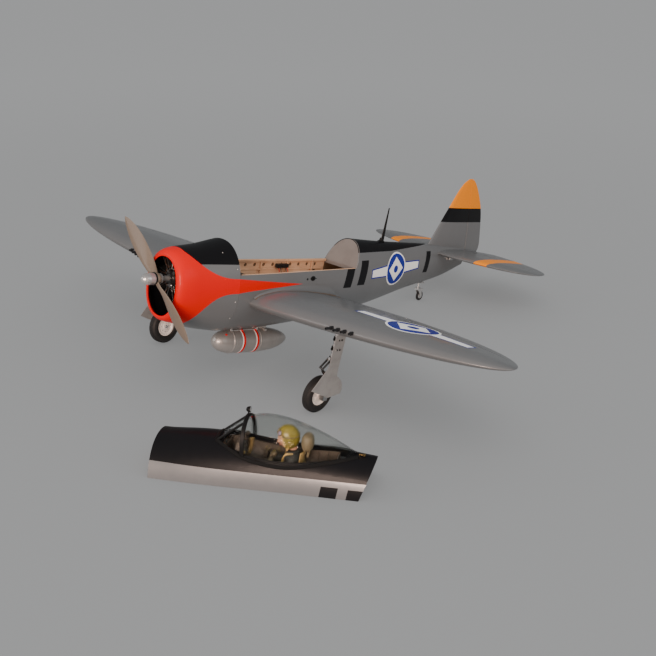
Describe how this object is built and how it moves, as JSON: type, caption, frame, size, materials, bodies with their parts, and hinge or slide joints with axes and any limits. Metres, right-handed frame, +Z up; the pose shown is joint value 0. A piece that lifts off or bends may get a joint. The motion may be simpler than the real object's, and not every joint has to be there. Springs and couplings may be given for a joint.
{
  "type": "rc warbird plane",
  "caption": "Radio-control low-wing radial-nosed warbird on retractable gear, with its bubble-canopy hatch lifted off and resting on the floor beside it.",
  "frame": {"origin": "on the floor, below the centre of the bounding box of the aircraft and its lifted-off hatch", "axes": "+X ahead along the aircraft, +Y to port, +Z up; the aircraft stands nose-up on its three wheels"},
  "size_m": [2.1288, 2.118, 0.6041],
  "materials": {
    "silver_film": "glossy silver film over balsa and ply",
    "plywood": "raw light plywood",
    "red_cowl": "gloss painted glass-fibre",
    "engine_black": "satin black",
    "engine_metal": "cast",
    "prop_wood": "varnished grey-brown wood",
    "polished_aluminium": "polished",
    "steel": "satin",
    "black_plastic": "satin",
    "servo_black": "moulded",
    "battery_blue": "shrink sleeve",
    "silver_paint": "silver paint",
    "tyre": "matt rubber",
    "hub_white": "cream white",
    "black_film": "gloss black film",
    "canopy_clear": "clear, lightly smoked",
    "brass": "polished",
    "cockpit_paint": "matt interior green",
    "pilot": "painted resin"
  },
  "bodies": {
    "airframe": {"fuselage_shell": "silver_film", "wing_port": "silver_film", "wing_starboard": "silver_film", "stabilizer": "silver_film", "fin": "silver_film", "fuselage_framing": "plywood", "firewall": "plywood", "aft_bulkhead": "silver_film", "equipment_trays": "plywood", "servos": "servo_black", "receiver_box": "servo_black", "battery_pack": "battery_blue", "cowl": "red_cowl", "radial_crankcase": "engine_black", "radial_cylinders": "black_plastic", "engine": "engine_metal", "muffler": "engine_metal", "wing_tube": "polished_aluminium", "gun_barrels": "black_plastic", "retract_units": "polished_aluminium", "tail_bracket": "polished_aluminium", "antenna_mast": "black_plastic", "drop_tank": "silver_paint", "tank_pylon": "silver_paint", "switch_plate": "black_plastic"},
    "propeller_unit": {"prop_driver": "steel", "propeller": "prop_wood", "spinner_nut": "polished_aluminium"},
    "aileron_port": {"aileron_port": "silver_film"},
    "aileron_starboard": {"aileron_starboard": "silver_film"},
    "flap_port": {"flap_port": "silver_film"},
    "flap_starboard": {"flap_starboard": "silver_film"},
    "elevator": {"elevator": "silver_film"},
    "rudder": {"rudder": "silver_film"},
    "tail_fork": {"tail_fork": "polished_aluminium"},
    "tail_wheel": {"tail_wheel_hub": "polished_aluminium", "tail_tyre": "tyre"},
    "hatch": {"hatch_shell": "black_film", "hatch_frame": "plywood", "canopy_glass": "canopy_clear", "canopy_frame": "black_plastic", "cockpit_tub": "cockpit_paint", "instrument_panel": "black_plastic", "pilot_figure": "pilot", "mirror": "black_plastic"},
    "latch": {"hatch_latch": "brass"},
    "gear_port": {"strut_cylinder_port": "polished_aluminium", "gear_cover_port": "silver_paint"},
    "oleo_port": {"strut_piston_port": "steel"},
    "link_upper_port": {"torque_link_upper_port": "polished_aluminium"},
    "link_lower_port": {"torque_link_lower_port": "polished_aluminium"},
    "wheel_port": {"wheel_hub_port": "hub_white", "tyre_port": "tyre"},
    "gear_starboard": {"strut_cylinder_starboard": "polished_aluminium", "gear_cover_starboard": "silver_paint"},
    "oleo_starboard": {"strut_piston_starboard": "steel"},
    "link_upper_starboard": {"torque_link_upper_starboard": "polished_aluminium"},
    "link_lower_starboard": {"torque_link_lower_starboard": "polished_aluminium"},
    "wheel_starboard": {"wheel_hub_starboard": "hub_white", "tyre_starboard": "tyre"}
  },
  "joints": [
    {"name": "prop_spin", "type": "hinge", "parent": "airframe", "child": "propeller_unit", "pos_m": [0.73282, 0, 0.44782], "axis": [0.9772, 0, 0.2125], "continuous": true},
    {"name": "aileron_port_hinge", "type": "hinge", "parent": "airframe", "child": "aileron_port", "pos_m": [0.10841, 0.64, 0.27057], "axis": [0.228, 0.9683, 0.1019], "range_deg": [-20, 20]},
    {"name": "aileron_starboard_hinge", "type": "hinge", "parent": "airframe", "child": "aileron_starboard", "pos_m": [0.10841, -0.64, 0.27057], "axis": [-0.228, 0.9683, -0.1019], "range_deg": [-20, 20]},
    {"name": "flap_port_hinge", "type": "hinge", "parent": "airframe", "child": "flap_port", "pos_m": [0.0801, 0.14, 0.23739], "axis": [-0.0543, -0.9964, -0.0657], "range_deg": [0, 28]},
    {"name": "flap_starboard_hinge", "type": "hinge", "parent": "airframe", "child": "flap_starboard", "pos_m": [0.0801, -0.14, 0.23739], "axis": [0.0543, -0.9964, 0.0657], "range_deg": [0, 28]},
    {"name": "elevator_hinge", "type": "hinge", "parent": "airframe", "child": "elevator", "pos_m": [-0.92695, 0, 0.15541], "axis": [0, 1, 0], "range_deg": [-20, 20]},
    {"name": "rudder_hinge", "type": "hinge", "parent": "airframe", "child": "rudder", "pos_m": [-0.94216, 0, 0.12652], "axis": [-0.0955, 0, 0.9954], "range_deg": [-25, 25]},
    {"name": "tail_wheel_steer", "type": "hinge", "parent": "airframe", "child": "tail_fork", "pos_m": [-0.63872, 0, 0.06766], "axis": [-0.2125, 0, 0.9772], "range_deg": [-25, 25]},
    {"name": "tail_wheel_spin", "type": "hinge", "parent": "tail_fork", "child": "tail_wheel", "pos_m": [-0.64862, 0, 0.0214], "axis": [0, 1, 0], "continuous": true},
    {"name": "retract_port", "type": "hinge", "parent": "airframe", "child": "gear_port", "pos_m": [0.34957, 0.4527, 0.29488], "axis": [-0.9772, 0, -0.2125], "range_deg": [0, 80]},
    {"name": "retract_starboard", "type": "hinge", "parent": "airframe", "child": "gear_starboard", "pos_m": [0.34957, -0.4527, 0.29488], "axis": [0.9772, 0, 0.2125], "range_deg": [0, 80]},
    {"name": "oleo_port", "type": "slide", "parent": "gear_port", "child": "oleo_port", "axis": [-0.2119, 0.0785, 0.9741], "range_m": [0, 0.012], "stiffness_N_per_m": 6000, "springref_m": -0.015},
    {"name": "link_upper_port", "type": "hinge", "parent": "gear_port", "child": "link_upper_port", "pos_m": [0.38605, 0.44462, 0.19773], "axis": [-0.0167, -0.9969, 0.0767], "range_deg": [0, 11]},
    {"name": "link_lower_port", "type": "hinge", "parent": "oleo_port", "child": "link_lower_port", "pos_m": [0.39791, 0.44022, 0.14318], "axis": [0.0167, 0.9969, -0.0767], "range_deg": [0, 11]},
    {"name": "wheel_spin_port", "type": "hinge", "parent": "oleo_port", "child": "wheel_port", "pos_m": [0.39982, 0.406, 0.06382], "axis": [0.0167, 0.9969, -0.0767], "continuous": true},
    {"name": "oleo_starboard", "type": "slide", "parent": "gear_starboard", "child": "oleo_starboard", "axis": [-0.2119, -0.0785, 0.9741], "range_m": [0, 0.012], "stiffness_N_per_m": 6000, "springref_m": -0.015},
    {"name": "link_upper_starboard", "type": "hinge", "parent": "gear_starboard", "child": "link_upper_starboard", "pos_m": [0.38605, -0.44462, 0.19773], "axis": [0.0167, -0.9969, -0.0767], "range_deg": [0, 11]},
    {"name": "link_lower_starboard", "type": "hinge", "parent": "oleo_starboard", "child": "link_lower_starboard", "pos_m": [0.39791, -0.44022, 0.14318], "axis": [-0.0167, 0.9969, 0.0767], "range_deg": [0, 11]},
    {"name": "wheel_spin_starboard", "type": "hinge", "parent": "oleo_starboard", "child": "wheel_starboard", "pos_m": [0.39982, -0.406, 0.06382], "axis": [-0.0167, 0.9969, 0.0767], "continuous": true},
    {"name": "hatch_lift", "type": "slide", "parent": "airframe", "child": "hatch", "axis": [0, 0, 1], "range_m": [0, 0.4]},
    {"name": "latch_slide", "type": "slide", "parent": "hatch", "child": "latch", "axis": [0.5087, -0.8609, 0], "range_m": [0, 0.006]}
  ],
  "couplings": [
    {"joint": "aileron_starboard_hinge", "follows": "aileron_port_hinge", "ratio": -1},
    {"joint": "flap_starboard_hinge", "follows": "flap_port_hinge", "ratio": 1},
    {"joint": "tail_wheel_steer", "follows": "rudder_hinge", "ratio": 1},
    {"joint": "retract_starboard", "follows": "retract_port", "ratio": 1},
    {"joint": "link_upper_port", "follows": "oleo_port", "rad_per_m": 15},
    {"joint": "link_lower_port", "follows": "oleo_port", "rad_per_m": 15},
    {"joint": "link_upper_starboard", "follows": "oleo_starboard", "rad_per_m": 15},
    {"joint": "link_lower_starboard", "follows": "oleo_starboard", "rad_per_m": 15}
  ]
}
